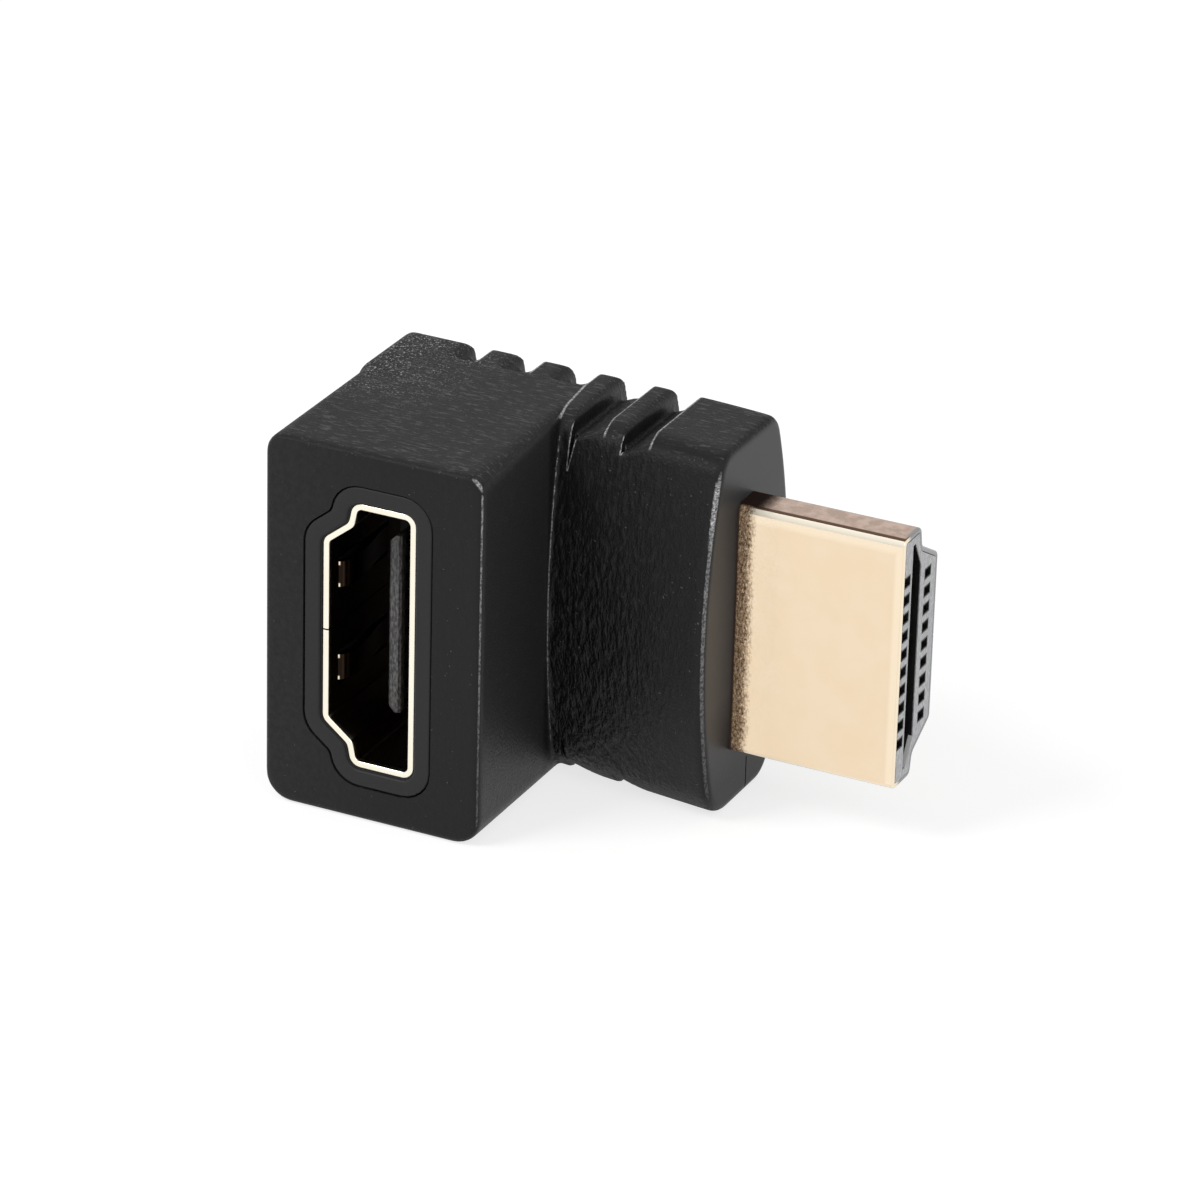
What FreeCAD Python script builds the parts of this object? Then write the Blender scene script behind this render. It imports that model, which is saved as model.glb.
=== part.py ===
# Right angle video adapter: a plug and a socket of one 19-contact pattern, joined by a small
# circuit board and moulded into an L-shaped grip.
# While building, x runs out along the plug from the grip's end face, y = 0 is the plug's
# mid-plane with the socket opening towards -y, and z = 0 is the mid-height.
# Each piece is moved at the end so that the origin is the bottom centre of the whole box.
import FreeCAD, Part
import math
import os

V = FreeCAD.Vector
sharp_radius = 0.05         # radius of a corner that counts as sharp
same_place = 1e-4           # two positions nearer than this are the same

# Plug shell, over its outside
plug_reach = 9.16
plug_width = 13.9
plug_thickness = 4.45
plug_straight = 2.15
plug_step_run = 0.2
plug_step_half = 5.8
plug_shoulder_half = 4.63
plug_wall = 0.3
plug_buried = 6.2
plug_corner = 0.4
seam_gap = 0.08

# Socket shell, over its inside
socket_width = 14.0
socket_thickness = 4.55
socket_straight = 2.95
socket_step_run = 0.2
socket_step_half = 5.99
socket_shoulder_half = 4.88
socket_wall = 0.37
socket_corner = 0.3
rim_recess = 0.15           # rim behind the grip's mouth face

# Spring fingers of the socket shell, two on each broad wall
finger_width = 1.4
finger_slot = 0.25
finger_spacing = 5.2
finger_setback = 1.2
finger_length = 5.2
finger_bulge = 0.4          # reach of the bend into the opening
finger_tip_run = 1.15       # from the tip to the bend

# Solder legs of the socket shell, two on each broad wall
leg_width = 1.2
leg_spacing = 6.8
leg_stand_out = 0.5         # beyond the board's back

# Contacts
contact_pitch = 1.0
wide_row_count = 10
narrow_row_count = 9
contact_width = 0.3
contact_thickness = 0.15
foot_length = 0.9
contact_proud = 0.03        # face of a socket contact above the tongue's face

# Socket insert: a block that closes the shell, with the tongue on it
tongue_thickness = 0.68
tongue_width = 9.9
tongue_setback = 2.2        # front edge behind the rim
tongue_from_wide_wall = 1.95
tongue_chamfer = 0.12       # along the front edge
tongue_bevel = 0.4          # off the two corners that face the narrow wall
contact_setback = 0.45      # contact tips behind the tongue's front edge
socket_block_depth = 2.6
board_gap = 0.9             # from the block to the board

# Plug insert
slot_thickness = 1.13
slot_offset = 0.525         # slot centre from the plug's mid-plane, towards the wide face
slot_half_width = 6.25
slot_narrow_half = 4.8
slot_straight = 0.3
slot_depth = 7.4
wide_window_from_slot = 0.24
narrow_window_from_slot = 0.56
window_thickness = 0.7
window_height = 0.47
window_lip = 0.55           # closed front end of each contact channel
tip_setback = 0.3
bow_setback = 2.0           # crest of a contact's bow behind the plug's front
bow_run = 1.5               # from the crest back to the channel's floor
insert_tail = 0.8           # insert behind the shell's rear edge
tail_margin = 0.25          # of that tail round the contacts

# Circuit board
board_thickness = 1.0
board_height = 13.6
board_margin = 0.6          # beyond the socket shell, on the side away from the plug
hole_clearance = 0.1

# Collar round the socket mouth
collar_wall = 0.95
collar_depth = 2.0
collar_gap = 0.07           # the line between collar and grip
collar_lead = 0.08          # clearance round the rim where the collar passes it

# Inner mould round the board and the rear of both connectors
core_wall = 1.1             # round the socket shell
core_cover = 0.4            # over the plug shell
core_over_board = 0.9       # beyond the board's upper and lower edges
core_setback = 1.6          # behind the grip's end face
core_bevel = 1.0

# Grip
grip_length = 21.5          # end face to the far side
grip_depth = 17.0           # mouth face to the crown of the back
socket_arm_width = 12.35    # at the mouth
socket_to_end_face = 15.6   # socket mid-plane from the end face
side_draft = 0.045          # the arm's side towards the plug leans in by this for each unit back
far_draft = 0.03            # the same for the far side
arm_step = 0.03             # the arm's top below the bar's
arm_corner = 0.8
mouth_edge = 0.5
arm_overlap = 3.6           # how far the arm runs on into the grip bar
bar_height = 20.5
bar_back = 4.6
bar_back_radius = 25.0
neck_front = 4.25
neck_front_radius = 43.0
end_front = 5.8
end_front_radius = 31.0
front_corner = 1.8
back_corner = 0.8
end_edge = 0.5
far_edge = 0.6
rounding_steps = 3          # flats that make up the rounding of each end of the bar

# Finger grooves over the top and bottom of the grip: distance of each from the end face
short_groove_starts = (17.98, 15.14, 12.2)
short_groove_widths = (1.58, 1.8, 2.05)
long_groove_starts = (8.87, 5.87)
long_groove_widths = (1.82, 1.52)
long_groove_tips = (2.8, 1.25)      # how far each runs down the front face
long_groove_rise = 0.45     # depth of a long groove at its shallow side
groove_depth = 0.75
groove_run_out = 3.5        # how far the grooves run down the back face
short_groove_front = 0.7    # y at which the short grooves start
groove_round = 0.5
tip_width = 0.35
tip_depth = 0.5             # depth of the narrow tip in the front face

# Places that follow from the sizes
plug_end = plug_reach
plug_rear = -plug_buried
insert_rear = plug_rear - insert_tail
slot_centre = -slot_offset
board_front = slot_centre - board_thickness / 2
board_back = slot_centre + board_thickness / 2
mouth = bar_back - grip_depth
rim = mouth + rim_recess
shell_rear = board_front - board_gap
far_side = -grip_length
neck = far_side + socket_arm_width - side_draft * (-mouth - neck_front)
socket_plane = -socket_to_end_face
wide_wall = socket_plane + socket_thickness / 2
narrow_wall = socket_plane - socket_thickness / 2
tongue_plane = wide_wall - tongue_from_wide_wall
tongue_front = rim + tongue_setback
block_front = shell_rear - socket_block_depth
bar_top = bar_height / 2
core_front = mouth + collar_depth
core_half = board_height / 2 + core_over_board
core_left = narrow_wall - socket_wall - core_wall
core_right = wide_wall + socket_wall + core_wall
core_far_y = plug_thickness / 2 + core_cover
board_left = narrow_wall - socket_wall - board_margin

to_origin = V(-(plug_end + far_side) / 2, -(bar_back + mouth) / 2, bar_top)


def whole(shape):
    """Merge split faces, and unwrap a single solid from its compound."""
    shape = shape.removeSplitter()
    return shape.Solids[0] if len(shape.Solids) == 1 else shape


def box(x, y, z):
    """Box from three (low, high) pairs."""
    size = [high - low for low, high in (x, y, z)]
    return Part.makeBox(size[0], size[1], size[2], V(x[0], y[0], z[0]))


def in_xy(z):
    return lambda point: V(point[0], point[1], z)


def in_yz(x):
    return lambda point: V(x, point[0], point[1])


def in_xz(y):
    return lambda point: V(point[0], y, point[1])


def prism(points, to_place, direction):
    """Prism over a closed outline with sharp corners."""
    wire = Part.makePolygon([to_place(p) for p in points + points[:1]])
    return Part.Face(wire).extrude(direction)


def edge_directions(points):
    directions = []
    for here, there in zip(points, points[1:] + points[:1]):
        length = math.hypot(there[0] - here[0], there[1] - here[1])
        directions.append(((there[0] - here[0]) / length, (there[1] - here[1]) / length))
    return directions


def grown_outline(points, radii, distance):
    """A clockwise outline moved outwards by an even distance, with its corner radii."""
    after = edge_directions(points)
    grown, grown_radii = [], []
    for i, (here, radius) in enumerate(zip(points, radii)):
        d1, d2 = after[i - 1], after[i]
        n1, n2 = (-d1[1], d1[0]), (-d2[1], d2[0])
        scale = distance / (1 + n1[0] * n2[0] + n1[1] * n2[1])
        grown.append((here[0] + scale * (n1[0] + n2[0]), here[1] + scale * (n1[1] + n2[1])))
        outward_corner = d1[0] * d2[1] - d1[1] * d2[0] < 0
        grown_radii.append(max(radius + (distance if outward_corner else -distance), sharp_radius))
    return grown, grown_radii


def rounded_wire(points, radii, to_place):
    """Closed wire whose corners are tangent arcs of the given radii."""
    after = edge_directions(points)
    edges = []
    ends = []
    for i, (here, radius) in enumerate(zip(points, radii)):
        d1, d2 = after[i - 1], after[i]
        turn = math.acos(max(-1.0, min(1.0, d1[0] * d2[0] + d1[1] * d2[1])))
        tangent = radius * math.tan(turn / 2)
        start = (here[0] - d1[0] * tangent, here[1] - d1[1] * tangent)
        end = (here[0] + d2[0] * tangent, here[1] + d2[1] * tangent)
        inward = (d2[0] - d1[0], d2[1] - d1[1])
        length = math.hypot(*inward)
        sagitta = radius * (1 / math.cos(turn / 2) - 1)
        middle = (here[0] + inward[0] / length * sagitta, here[1] + inward[1] / length * sagitta)
        ends.append((start, middle, end))
    for (start, middle, end), following in zip(ends, ends[1:] + ends[:1]):
        edges.append(Part.Arc(to_place(start), to_place(middle), to_place(end)).toShape())
        edges.append(Part.LineSegment(to_place(end), to_place(following[0])).toShape())
    return Part.Wire(edges)


def shell_outline(thickness, width, straight, step_run, step_half, shoulder_half, corner):
    """D-shaped section as (distance from the wide wall, z), clockwise, with corner radii."""
    upper = [
        (0.0, width / 2),
        (straight, width / 2),
        (straight + step_run, step_half),
        (thickness, shoulder_half),
    ]
    points = [(a, -z) for a, z in upper[:1]] + upper + [(a, -z) for a, z in reversed(upper[1:])]
    return points, [corner] * len(points)


def plug_solid(grow, x_from, x_to):
    """The plug's section grown by an even wall; the wide face looks towards -y."""
    points, radii = shell_outline(plug_thickness, plug_width, plug_straight, plug_step_run,
                                  plug_step_half, plug_shoulder_half, plug_corner)
    points, radii = grown_outline(points, radii, grow)
    wide_face = -plug_thickness / 2
    wire = rounded_wire(points, radii, lambda p: V(x_from, wide_face + p[0], p[1]))
    return Part.Face(wire).extrude(V(x_to - x_from, 0, 0))


def socket_solid(grow, y_from, y_to):
    """The socket's section grown by an even wall; the wide wall is the one nearest the plug."""
    points, radii = shell_outline(socket_thickness, socket_width, socket_straight, socket_step_run,
                                  socket_step_half, socket_shoulder_half, socket_corner)
    points, radii = grown_outline(points, radii, grow)
    wire = rounded_wire(points, radii, lambda p: V(wide_wall - p[0], y_from, p[1]))
    return Part.Face(wire).extrude(V(0, y_to - y_from, 0))


def strip(path, z):
    """Bent flat strip of contact stock along a path in the xy plane, centred on height z."""
    half = contact_thickness / 2
    directions = []
    for here, there in zip(path, path[1:]):
        length = math.hypot(there[0] - here[0], there[1] - here[1])
        directions.append(((there[0] - here[0]) / length, (there[1] - here[1]) / length))
    left, right = [], []
    for i, here in enumerate(path):
        d1 = directions[max(i - 1, 0)]
        d2 = directions[min(i, len(directions) - 1)]
        scale = half / (1 + d1[0] * d2[0] + d1[1] * d2[1])
        shift = (-(d1[1] + d2[1]) * scale, (d1[0] + d2[0]) * scale)
        left.append((here[0] + shift[0], here[1] + shift[1]))
        right.append((here[0] - shift[0], here[1] - shift[1]))
    return prism(left + right[::-1], in_xy(z - contact_width / 2), V(0, 0, contact_width))


def row_heights(count):
    return [(i - (count - 1) / 2) * contact_pitch for i in range(count)]


def socket_contact(side, z):
    """Straight contact on one face of the tongue, with a foot soldered to the board."""
    x = tongue_plane + side * ((tongue_thickness - contact_thickness) / 2 + contact_proud)
    foot = board_front - contact_thickness / 2
    tip = tongue_front + contact_setback
    return strip([(x, tip), (x, foot), (x + side * foot_length, foot)], z)


def socket_contacts():
    rows = [(1, z) for z in row_heights(wide_row_count)]
    rows += [(-1, z) for z in row_heights(narrow_row_count)]
    return [socket_contact(side, z) for side, z in rows]


def window_span(side):
    """Low and high y of the contact channels on one side of the plug's slot."""
    edge = slot_centre + side * slot_thickness / 2
    inset = wide_window_from_slot if side < 0 else narrow_window_from_slot
    near, far = edge + side * inset, edge + side * (inset + window_thickness)
    return min(near, far), max(near, far)


def plug_contact(side, z):
    """Sprung contact: its bow reaches into the slot, its tail lies on the board."""
    low, high = window_span(side)
    rest = (low + high) / 2
    edge = slot_centre + side * slot_thickness / 2
    bow = edge - side * contact_thickness / 2
    face = board_front if side < 0 else board_back
    foot = face + side * contact_thickness / 2
    bow_x = plug_end - bow_setback
    path = [
        (plug_end - tip_setback, rest),
        (bow_x, bow),
        (bow_x - bow_run, rest),
        (insert_rear - contact_thickness, rest),
        (insert_rear - foot_length, foot),
        (insert_rear - 2 * foot_length, foot),
    ]
    return strip(path, z)


def plug_contacts():
    rows = [(-1, z) for z in row_heights(wide_row_count)]
    rows += [(1, z) for z in row_heights(narrow_row_count)]
    return [plug_contact(side, z) for side, z in rows]


def plug_shell():
    shell = plug_solid(0, plug_rear, plug_end).cut(plug_solid(-plug_wall, plug_rear, plug_end))
    back = plug_thickness / 2
    seam = box((plug_rear, plug_end), (back - 2 * plug_wall, back + plug_wall),
               (-seam_gap / 2, seam_gap / 2))
    return whole(shell.cut(seam))


def plug_tail():
    """Block behind the plug's insert, round the tails of both rows of contacts."""
    across = (window_span(-1)[0] - tail_margin, window_span(1)[1] + tail_margin)
    half = row_heights(wide_row_count)[-1] + contact_width / 2 + tail_margin
    return box((insert_rear, plug_rear), across, (-half, half))


def plug_insert(contacts):
    """Moulded insert with the mating slot and one channel for each contact."""
    body = plug_solid(-plug_wall, plug_rear, plug_end).fuse(plug_tail())
    wide_edge = slot_centre - slot_thickness / 2
    narrow_edge = slot_centre + slot_thickness / 2
    slot_end = plug_end - slot_depth
    outline = [
        (wide_edge, -slot_half_width),
        (wide_edge, slot_half_width),
        (wide_edge + slot_straight, slot_half_width),
        (narrow_edge, slot_narrow_half),
        (narrow_edge, -slot_narrow_half),
        (wide_edge + slot_straight, -slot_half_width),
    ]
    cuts = [prism(outline, in_yz(slot_end), V(slot_depth, 0, 0))]
    for side, count in ((-1, wide_row_count), (1, narrow_row_count)):
        low, high = window_span(side)
        for z in row_heights(count):
            height = (z - window_height / 2, z + window_height / 2)
            cuts.append(box((slot_end, plug_end), (low, high), height))
            reach = (low, wide_edge) if side < 0 else (narrow_edge, high)
            cuts.append(box((slot_end, plug_end - window_lip), reach, height))
    return whole(body.cut(Part.makeCompound(cuts)).cut(Part.makeCompound(contacts)))


def finger(wall_inside, inward, z):
    """One spring finger as a bent strip of the shell's own wall."""
    tip = rim + finger_setback
    bend = tip + finger_tip_run
    root = tip + finger_length
    offsets = [(0.0, tip), (finger_bulge, bend), (0.0, root), (0.0, root + finger_slot)]
    inner = [(wall_inside + inward * a, y) for a, y in offsets]
    outer = [(x - inward * socket_wall, y) for x, y in inner]
    return prism(inner + outer[::-1], in_xy(z - finger_width / 2), V(0, 0, finger_width))


def socket_shell():
    shell = socket_solid(socket_wall, rim, shell_rear).cut(socket_solid(0, rim, shell_rear))
    tip = rim + finger_setback
    windows, additions = [], []
    for inside, inward in ((wide_wall, -1), (narrow_wall, 1)):
        through = sorted((inside - inward * 2 * socket_wall, inside + inward * socket_wall))
        wall = sorted((inside, inside - inward * socket_wall))
        for end in (-1, 1):
            z = end * finger_spacing / 2
            half = finger_width / 2 + finger_slot
            windows.append(box(through, (tip - finger_slot, tip + finger_length), (z - half, z + half)))
            additions.append(finger(inside, inward, z))
            z = end * leg_spacing / 2
            additions.append(box(wall, (shell_rear - socket_wall, board_back + leg_stand_out),
                                 (z - leg_width / 2, z + leg_width / 2)))
    seam = box((narrow_wall - 2 * socket_wall, narrow_wall + socket_wall), (rim, shell_rear),
               (-seam_gap / 2, seam_gap / 2))
    return whole(shell.cut(Part.makeCompound(windows + [seam])).fuse(additions))


def socket_insert(contacts):
    block = socket_solid(0, block_front, shell_rear)
    half = tongue_thickness / 2
    nose = tongue_front + tongue_chamfer
    section = [
        (tongue_plane - half, block_front),
        (tongue_plane - half, nose),
        (tongue_plane - half + tongue_chamfer, tongue_front),
        (tongue_plane + half - tongue_chamfer, tongue_front),
        (tongue_plane + half, nose),
        (tongue_plane + half, block_front),
    ]
    half_width = tongue_width / 2
    tongue = prism(section, in_xy(-half_width), V(0, 0, tongue_width))
    low, high = tongue_plane - half, tongue_plane + half
    end_view = [
        (low, -half_width + tongue_bevel),
        (low, half_width - tongue_bevel),
        (low + tongue_bevel, half_width),
        (high, half_width),
        (high, -half_width),
        (low + tongue_bevel, -half_width),
    ]
    tongue = tongue.common(prism(end_view, in_xz(tongue_front), V(0, block_front - tongue_front, 0)))
    return whole(block.fuse(tongue).cut(Part.makeCompound(contacts)))


def leg_slots():
    """Slots in the board for the socket shell's legs."""
    slots = []
    for inside, inward in ((wide_wall, -1), (narrow_wall, 1)):
        wall = sorted((inside, inside - inward * socket_wall))
        across = (wall[0] - hole_clearance, wall[1] + hole_clearance)
        for end in (-1, 1):
            z = end * leg_spacing / 2
            half = leg_width / 2 + hole_clearance
            slots.append(box(across, (board_front, board_back), (z - half, z + half)))
    return slots


def board_blank():
    right = insert_rear - contact_thickness
    half = board_height / 2
    return box((board_left, right), (board_front, board_back), (-half, half))


def circuit_board():
    return whole(board_blank().cut(Part.makeCompound(leg_slots())))


def collar():
    outer = socket_solid(socket_wall + collar_wall, mouth, core_front)
    lead = socket_solid(socket_wall + collar_lead, mouth, rim)
    return whole(outer.cut(socket_solid(socket_wall, rim, core_front)).cut(lead))


def bevelled(low, high, half, bevel):
    """Corners of a rectangle from low to high and half to each side, with its corners cut off."""
    return [(low, -half + bevel), (low, half - bevel), (low + bevel, half), (high - bevel, half),
            (high, half - bevel), (high, -half + bevel), (high - bevel, -half), (low + bevel, -half)]


def core_envelope():
    """Outside of the inner mould: a sleeve over the socket and a block over board and plug."""
    height = socket_width / 2 + socket_wall + core_wall
    outline = bevelled(core_left, core_right, height, core_wall + core_bevel)
    sleeve = prism(outline, in_xz(core_front), V(0, shell_rear - core_front, 0))
    outline = bevelled(-core_far_y, core_far_y, core_half, core_bevel)
    block = prism(outline, in_yz(core_left), V(-core_setback - core_left, 0, 0))
    return whole(sleeve.fuse(block))


def inner_mould(envelope, board, shell, contacts):
    """The inner mould fills the envelope round everything that it holds."""
    held = [
        socket_solid(socket_wall, rim, shell_rear),
        plug_solid(0, plug_rear, plug_end),
        plug_tail(),
        board,
        shell,
    ]
    return whole(envelope.cut(Part.makeCompound(held)).cut(Part.makeCompound(contacts)))


def bar_quarter(reach, radius, corner, inset):
    """Points of one upper quarter of the bar's section: crown, corner start, middle and end."""
    half = bar_top - inset
    crown = reach - inset
    radius = radius - inset
    corner = corner - inset
    centre = crown - radius
    run = math.sqrt((radius - corner) ** 2 - (half - corner) ** 2)
    grow = radius / (radius - corner)
    start = (centre + run * grow, (half - corner) * grow)
    angle = math.atan2(half - corner, run) / 2 + math.pi / 4
    middle = (centre + run + corner * math.cos(angle), half - corner + corner * math.sin(angle))
    return (crown, 0.0), start, middle, (centre + run, half)


def bar_wire(x, front, front_radius, inset=0.0):
    """Section of the grip bar: crowned front and back, flat top and bottom, round corners."""
    front_quarter = [V(x, -y, z) for y, z in bar_quarter(front, front_radius, front_corner, inset)]
    back_quarter = [V(x, y, z) for y, z in bar_quarter(bar_back, bar_back_radius, back_corner, inset)]

    def down(point):
        return V(point.x, point.y, -point.z)

    crown, low, middle, high = front_quarter
    back_crown, back_low, back_middle, back_high = back_quarter
    return Part.Wire([
        Part.Arc(down(low), crown, low).toShape(),
        Part.Arc(low, middle, high).toShape(),
        Part.LineSegment(high, back_high).toShape(),
        Part.Arc(back_high, back_middle, back_low).toShape(),
        Part.Arc(back_low, back_crown, down(back_low)).toShape(),
        Part.Arc(down(back_low), down(back_middle), down(back_high)).toShape(),
        Part.LineSegment(down(back_high), down(high)).toShape(),
        Part.Arc(down(high), down(middle), down(low)).toShape(),
    ])


def edges_at(shape, y):
    """Edges that lie in the plane with this y."""
    return [e for e in shape.Edges
            if abs(e.BoundBox.YMin - y) < same_place and abs(e.BoundBox.YMax - y) < same_place]


def end_rounding(end_x, outwards, radius):
    """(x, inset) of the sections that round one end of the bar, from its side to its end face."""
    angles = [i / rounding_steps * math.pi / 2 for i in range(rounding_steps + 1)]
    return [(end_x - outwards * radius * (1 - math.sin(a)), radius * (1 - math.cos(a))) for a in angles]


def grip_bar(inset=0.0):
    """The bar behind the socket arm: straight over the arm, flared from the neck to the end face."""
    if inset:
        sections = [(far_side, inset), (neck, inset), (0.0, inset)]
    else:
        sections = end_rounding(far_side, -1, far_edge)[::-1] + [(neck, 0.0)] + end_rounding(0.0, 1, end_edge)
    wires = []
    for x, section_inset in sections:
        flare = max(x - neck, 0.0) / -neck
        front = neck_front + (end_front - neck_front) * flare
        front_radius = neck_front_radius + (end_front_radius - neck_front_radius) * flare
        wires.append(bar_wire(x, front, front_radius, section_inset))
    return whole(Part.makeLoft(wires, True, True))


def socket_arm():
    """Block round the socket: round corners along its length, and sides that lean in from the mouth."""
    back = arm_overlap - neck_front
    run = back - mouth
    top = bar_top - arm_step
    right = far_side + socket_arm_width
    arm = Part.makeWedge(far_side, mouth, -top, -top, far_side + far_draft * run,
                         right, back, top, top, right - side_draft * run)
    arm = arm.makeFillet(arm_corner, [e for e in arm.Edges if e.BoundBox.YLength > mouth_edge])
    return arm.makeFillet(mouth_edge, edges_at(arm, mouth))


def groove_prism(left, width, start_y, round_plan):
    """Cutting volume of one groove behind start_y, down to its run-out on the back face."""
    right = left + width
    top = bar_top + 2 * groove_depth
    run_out = bar_top - groove_run_out
    behind = bar_back + 2 * groove_depth
    radii = [groove_round, sharp_radius, sharp_radius, groove_round]
    back = [(left, run_out), (left, top), (right, top), (right, run_out)]
    outline = rounded_wire(back, radii, in_xz(start_y))
    tool = Part.Face(outline).extrude(V(0, behind - start_y, 0))
    if round_plan:
        plan = [(left, start_y), (left, behind), (right, behind), (right, start_y)]
        outline = rounded_wire(plan, radii, in_xy(0.0))
        tool = tool.common(Part.Face(outline).extrude(V(0, 0, top)))
    return tool


def long_groove_floor(left, width, depth):
    """Cut of a long groove from front to back: upright left wall, floor rising to the right."""
    top = bar_top + 2 * groove_depth
    profile = [(left, bar_top - depth), (left, top), (left + width, top),
               (left + width, bar_top - long_groove_rise)]
    front = -(end_front + 2 * groove_depth)
    return prism(profile, in_xz(front), V(0, bar_back - front, 0))


def groove_tools():
    """All grooves of the top and of the bottom."""
    under_skin = []
    for start, width in zip(short_groove_starts, short_groove_widths):
        under_skin.append(groove_prism(-start, width, short_groove_front, True))
    straight = []
    tips = []
    for start, width, tip in zip(long_groove_starts, long_groove_widths, long_groove_tips):
        under_skin.append(groove_prism(-start, width, 0.0, False))
        depth = min(tip, groove_depth + tip_depth)
        straight.append(long_groove_floor(-start, width, depth))
        if tip > depth:
            front = -(end_front + 2 * groove_depth)
            corner = (-start, bar_top - tip)
            tips.append(prism([corner, (-start, bar_top), (-start + tip_width, bar_top - depth)],
                              in_xz(front), V(0, -front, 0)))
    upper = Part.makeCompound(under_skin).cut(grip_bar(groove_depth))
    upper = upper.fuse(straight)
    upper = upper.fuse([tip.cut(grip_bar(tip_depth)) for tip in tips])
    lower = upper.mirror(V(0, 0, 0), V(0, 0, 1))
    return [upper, lower]


def overmould(envelope):
    """The outer grip, moulded over the inner mould, the collar and the plug's shell."""
    body = whole(grip_bar().fuse(socket_arm()))
    body = body.cut(groove_tools())
    seat = socket_solid(socket_wall + collar_wall + collar_gap, mouth, core_front)
    hollow = [envelope, seat, plug_solid(0, plug_rear, plug_end)]
    return whole(body.cut(hollow))


def write(name, shape):
    shape = shape.copy()
    shape.translate(to_origin)
    if not shape.isValid() or len(shape.Solids) != 1:
        print("check", name, shape.isValid(), len(shape.Solids))
    shape.exportStep("parts/" + name + ".step")


def main():
    os.makedirs("parts", exist_ok=True)
    at_socket = socket_contacts()
    at_plug = plug_contacts()
    shell = socket_shell()
    envelope = core_envelope()
    write("overmould", overmould(envelope))
    write("inner_mould", inner_mould(envelope, board_blank(), shell, at_socket + at_plug))
    write("socket_collar", collar())
    write("socket_shell", shell)
    write("socket_insert", socket_insert(at_socket))
    write("plug_shell", plug_shell())
    write("plug_insert", plug_insert(at_plug))
    write("circuit_board", circuit_board())
    for number, (first, second) in enumerate(zip(at_socket, at_plug), 1):
        write("socket_contact_%02d" % number, first)
        write("plug_contact_%02d" % number, second)


main()
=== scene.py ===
import math

import bmesh
import bpy
from mathutils import Matrix, Vector


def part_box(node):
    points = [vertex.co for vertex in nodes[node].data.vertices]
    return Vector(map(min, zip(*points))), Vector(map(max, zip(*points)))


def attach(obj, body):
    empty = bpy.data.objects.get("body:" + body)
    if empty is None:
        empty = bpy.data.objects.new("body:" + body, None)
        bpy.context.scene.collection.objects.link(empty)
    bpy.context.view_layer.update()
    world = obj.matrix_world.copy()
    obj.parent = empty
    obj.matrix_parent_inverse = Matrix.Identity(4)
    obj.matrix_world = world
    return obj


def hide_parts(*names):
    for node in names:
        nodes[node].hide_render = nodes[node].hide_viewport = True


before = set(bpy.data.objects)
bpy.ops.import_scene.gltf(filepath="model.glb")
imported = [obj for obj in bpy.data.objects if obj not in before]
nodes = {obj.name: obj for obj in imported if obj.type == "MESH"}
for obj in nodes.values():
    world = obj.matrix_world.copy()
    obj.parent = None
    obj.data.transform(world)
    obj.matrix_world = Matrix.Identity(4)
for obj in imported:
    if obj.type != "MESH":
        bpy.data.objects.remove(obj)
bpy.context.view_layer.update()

# The grip: one L-shaped moulding of black flexible vinyl, shot over the inner mould, the collar and the
# plug's shell. The socket arm is drafted back from its mouth, the bar is crowned front and back and flares
# to the end face, and finger grooves cross the top and bottom. It comes off the mould with soft edges.
mm = 0.001
grip_low, grip_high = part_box("overmould")
plug_low, plug_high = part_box("plug_shell")
# Lengths of this file are millimetres from the middle of the end face, on the plug's mid-plane.
end_face = Vector((grip_high.x, (plug_low.y + plug_high.y) / 2, (grip_low.z + grip_high.z) / 2))
to_frame = Matrix.Translation(end_face) @ Matrix.Scale(mm, 4)
far_side = (grip_low.x - end_face.x) / mm
mouth = (grip_low.y - end_face.y) / mm
bar_back = (grip_high.y - end_face.y) / mm
bar_top = (grip_high.z - end_face.z) / mm

bar_back_radius = 34.0
end_back_radius = 27.0
neck_front = 4.25
neck_front_radius = 43.0
end_front = 5.8
end_front_radius = 31.0
front_corner = 1.4
under_corner = 2.6
back_corner = 0.8
end_back_corner = 1.7
end_edge = 0.45
far_edge = 0.6
crown_steps = 14
corner_steps = 8
flare_steps = 8

arm_width = 12.35
arm_corners = (1.1, 1.5)        # upper and lower, at the mouth
arm_back_corner = 0.45
corner_growth = 3               # power that keeps the back corner tight until the end face is near
arm_overlap = 3.6
side_draft = 0.045
far_draft = 0.03
mouth_edge = 0.35
neck = far_side + arm_width - side_draft * (-mouth - neck_front)

short_grooves = ((17.98, 1.58), (15.14, 1.8), (12.2, 2.05))     # start and width
long_grooves = ((8.87, 1.82, 2.8), (5.87, 1.52, 1.25))          # start, width, reach down the front
long_groove_rise = 0.45
groove_depth = 0.75
groove_run_out = 3.5
short_groove_front = 0.7
groove_round = 0.5
short_shoulder = (0.7, 0.45)        # radius at the rib left of a groove, and the wall's shift to the right
long_shoulder = (0.45, 0.0)
tip_width = 0.35
tip_depth = 0.5
spare = 2.0                 # how far a cutting tool stands out of the moulding

cell = 0.12                 # size of the grip's mesh cells
soft_passes = 4
soft_factor = 0.5
kept_share = 0.55           # of the cells' triangles
sharp_turn = math.radians(40)


def new_piece(name, points, faces):
    """Mesh object from points and faces, with its faces turned outwards."""
    mesh = bpy.data.meshes.new(name)
    mesh.from_pydata(points, [], faces)
    form = bmesh.new()
    form.from_mesh(mesh)
    bmesh.ops.recalc_face_normals(form, faces=form.faces)
    form.to_mesh(mesh)
    form.free()
    piece = bpy.data.objects.new(name, mesh)
    bpy.context.scene.collection.objects.link(piece)
    return piece


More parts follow.
